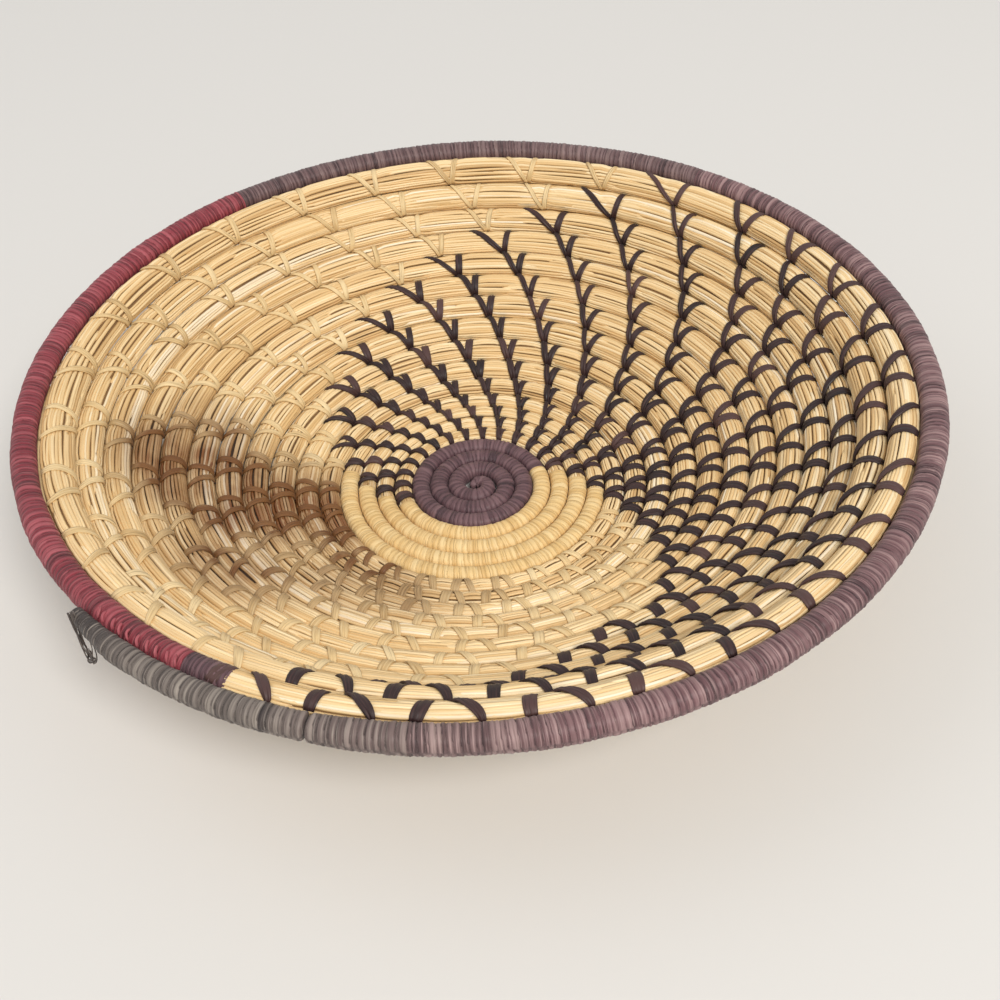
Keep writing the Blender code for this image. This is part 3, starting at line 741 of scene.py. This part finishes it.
def make_bindings(materials):
    """The dark disc, the smooth half-turns round it and the rim."""
    first_smooth = turn_at(SMOOTH_ROWS[0], dark_start(SMOOTH_ROWS[0]))
    bind("centre_wrap", START_TURNS[0], first_smooth, materials["rim_wrap_start"], "dark_plum_raffia",
         SEEDS["disc"], **DISC_WINDING)
    for number, row in enumerate(SMOOTH_ROWS, start=1):
        bind(f"inner_wrap_{number}", turn_at(row, dark_start(row)), turn_at(row - 1, dark_end(row - 1)),
             materials["smooth"], "natural_raffia", SEEDS["smooth"] + number, **SMOOTH_WINDING)
    for number, (name, slot, start, end) in enumerate(RIM_BINDING):
        groove = turn_at(0, SPLIT_AZIMUTH) if name == "rim_wrap_tail" else None
        bind(name, turn_at(0, start), turn_at(0, end), materials[name], slot, SEEDS["rim"] + number,
             groove=groove, **RIM_WINDING)


def make_tail_stitches(material):
    """Small pale stitches that sew the rim's tail to the row inside it."""
    rng = np.random.default_rng(SEEDS["tail"])
    turns = turn_at(0, np.linspace(*TAIL_STITCH_PLACES, TAIL_STITCHES))
    turns = turns + rng.uniform(-TAIL_CHANGE, TAIL_CHANGE, TAIL_STITCHES)
    batch = Batch()
    lay_straps(batch, rng, TAIL_STRAP, turns, TAIL_DRIFT, TAIL_ANGLES, np.ones(TAIL_STITCHES), TAIL_STEPS,
               rng.uniform(*TAIL_TONES, TAIL_STITCHES))
    batch.piece("tail_sewing_stitches", material, "maroon_raffia")


def make_loose_end(material):
    """The frayed end of the raffia that hangs from the tail of the rim."""
    rng = np.random.default_rng(SEEDS["strands"])
    batch = Batch()
    middle, across, up, width, height = (value[0] for value in coil_frame(np.array([END_TURN - 0.001])))
    outward = unit(np.array((middle[0], middle[1], 0.0)))
    sideways = np.array((-outward[1], outward[0], 0.0))
    root = middle + across * width * ROOT_OUT_SHARE - up * height * ROOT_DOWN_SHARE + sideways * ROOT_SHIFT
    around = np.arange(STRAND_SIDES) * math.tau / STRAND_SIDES
    c, s = np.cos(around)[:, None], np.sin(around)[:, None]
    for strand in range(STRANDS):
        sweep = np.radians(np.linspace(LOOP_START, rng.uniform(*LOOP_ENDS), STRAND_STEPS))
        loop, drop = LOOP_WIDTH * rng.uniform(*LOOP_CHANGES), LOOP_DROP * rng.uniform(*DROP_CHANGES)
        path = (root + sideways * ((1 - np.cos(sweep)) * loop / 2)[:, None]
                - UP * (np.sin(sweep) * drop)[:, None]
                + outward * (smooth_noise(rng, STRAND_STEPS, 1.0, OUT_STEPS) * OUT_WAVE)[:, None]
                + sideways * (smooth_noise(rng, STRAND_STEPS, 1.0, SIDE_STEPS) * SIDE_WAVE)[:, None])
        forward = unit(np.gradient(path, axis=0))
        first = unit(np.cross(forward, outward))
        second = np.cross(forward, first)
        radius = STRAND_RADIUS * rng.uniform(*RADIUS_CHANGES) * np.linspace(1.0, TIP_SHARE, STRAND_STEPS)
        rings = path[:, None] + (first[:, None] * c + second[:, None] * s) * radius[:, None, None]
        grain = np.zeros((STRAND_STEPS, STRAND_SIDES, 3))
        grain[:, :, 0] = np.linspace(0, STRAND_LENGTH, STRAND_STEPS)[:, None]
        grain[:, :, 1] = np.cos(around) * STRAND_RADIUS
        grain[:, :, 2] = strand
        batch.skin(rings, rng.uniform(*STRAND_TONES), grain)
    batch.piece("loose_strand_fibres", material, "grey_raffia", ("loose_strand",))


FLOOR_REACH, FLOOR_COLOUR, FLOOR_ROUGHNESS, FLOOR_SPECULAR = 6.0, (0.70, 0.69, 0.675, 1.0), 0.9, 0.1
WORLD_COLOUR, WORLD_STRENGTH = (1.0, 0.985, 0.96, 1.0), 0.52
# Lamps: name, place, size, watts and colour
LAMP_AIM = (0.0, 0.0, 0.03)
LAMPS = (("key", (0.96, -2.34, 2.76), 1.5, 111.0, (1.0, 0.97, 0.92)),
         ("fill", (-2.1, 0.6, 2.7), 2.7, 14.0, (0.98, 0.98, 1.0)))


def make_floor():
    """Plain pale floor under the bowl and out to the horizon."""
    mesh = bpy.data.meshes.new("floor")
    corners = [(x * FLOOR_REACH, y * FLOOR_REACH, 0) for x, y in ((-1, -1), (1, -1), (1, 1), (-1, 1))]
    mesh.from_pydata(corners, [], [(0, 1, 2, 3)])
    material = bpy.data.materials.new("pale_floor")
    material.use_nodes = True
    shader = material.node_tree.nodes["Principled BSDF"]
    shader.inputs["Base Color"].default_value = FLOOR_COLOUR
    shader.inputs["Roughness"].default_value = FLOOR_ROUGHNESS
    shader.inputs["Specular IOR Level"].default_value = FLOOR_SPECULAR
    mesh.materials.append(material)
    item = bpy.data.objects.new("floor", mesh)
    item.location.z = FLOOR_HEIGHT
    bpy.context.scene.collection.objects.link(item)


def make_world():
    """Even pale light from all round, and white where the camera looks past the floor."""
    world = bpy.data.worlds.new("studio")
    bpy.context.scene.world = world
    world.use_nodes = True
    tree = world.node_tree
    light = tree.nodes["Background"]
    light.inputs["Color"].default_value = WORLD_COLOUR
    light.inputs["Strength"].default_value = WORLD_STRENGTH
    white = make_node(tree, "ShaderNodeBackground", {"Color": (1, 1, 1, 1), "Strength": 1.0})
    rays = make_node(tree, "ShaderNodeLightPath").outputs
    seen = joined(tree, rays["Is Camera Ray"], rays["Is Glossy Ray"], "MAXIMUM")
    seen = joined(tree, seen, rays["Is Transmission Ray"], "MAXIMUM")
    mix = make_node(tree, "ShaderNodeMixShader", {0: seen, 1: light.outputs[0], 2: white.outputs[0]})
    tree.links.new(mix.outputs[0], tree.nodes["World Output"].inputs["Surface"])


def make_lamp(name, place, size, power, colour):
    lamp = bpy.data.lights.new(name, "AREA")
    lamp.shape = "DISK"
    lamp.size = size
    lamp.energy = power
    lamp.color = colour
    item = bpy.data.objects.new(name, lamp)
    item.location = place
    item.rotation_euler = (Vector(LAMP_AIM) - Vector(place)).to_track_quat("-Z", "Y").to_euler()
    bpy.context.scene.collection.objects.link(item)


# The camera: focal length in thousandths of the picture's width, distance, height angle and roll
FOCAL, DISTANCE, CAMERA_HEIGHT, ROLL = 1334.5, 0.4697, 37.38, -3.73
AIM_HEIGHT, AIM_X, AIM_Y = 0.060, 468.9, 367.0
PICTURE, SENSOR = 1000.0, 36.0


def make_camera():
    """Shows the point AIM_HEIGHT above the winding's middle at pixel AIM_X, AIM_Y."""
    height, roll = math.radians(CAMERA_HEIGHT), math.radians(ROLL)
    offset = Vector((0.0, -DISTANCE * math.cos(height), DISTANCE * math.sin(height)))
    forward = -offset.normalized()
    right = Vector((1.0, 0.0, 0.0))
    up = right.cross(forward)
    right, up = right * math.cos(roll) + up * math.sin(roll), up * math.cos(roll) - right * math.sin(roll)
    seen = Vector(((AIM_X - PICTURE / 2) / FOCAL, -(AIM_Y - PICTURE / 2) / FOCAL, 1.0)).normalized()
    turn = Vector((0.0, 0.0, 1.0)).rotation_difference(seen).to_matrix()
    axes = [right * row[0] + up * row[1] + forward * row[2] for row in turn]
    camera = bpy.data.cameras.new("camera")
    camera.sensor_width = SENSOR
    camera.lens = FOCAL * SENSOR / PICTURE
    camera.clip_start = 0.01
    item = bpy.data.objects.new("camera", camera)
    matrix = Matrix((axes[0], axes[1], -axes[2])).transposed().to_4x4()
    matrix.translation = Vector(MIDDLE) + Vector((0.0, 0.0, AIM_HEIGHT)) + offset
    item.matrix_world = matrix
    bpy.context.scene.collection.objects.link(item)
    bpy.context.scene.camera = item


materials = {use: raffia_material(use) for use in RAFFIA}
make_stems(straw_material())
make_core(core_material())
make_stitches(materials)
make_bindings(materials)
make_tail_stitches(materials["rim_wrap_maroon"])
make_loose_end(materials["rim_wrap_tail"])
make_floor()
make_world()
for lamp_values in LAMPS:
    make_lamp(*lamp_values)
make_camera()
bpy.context.scene.view_settings.view_transform = "Standard"
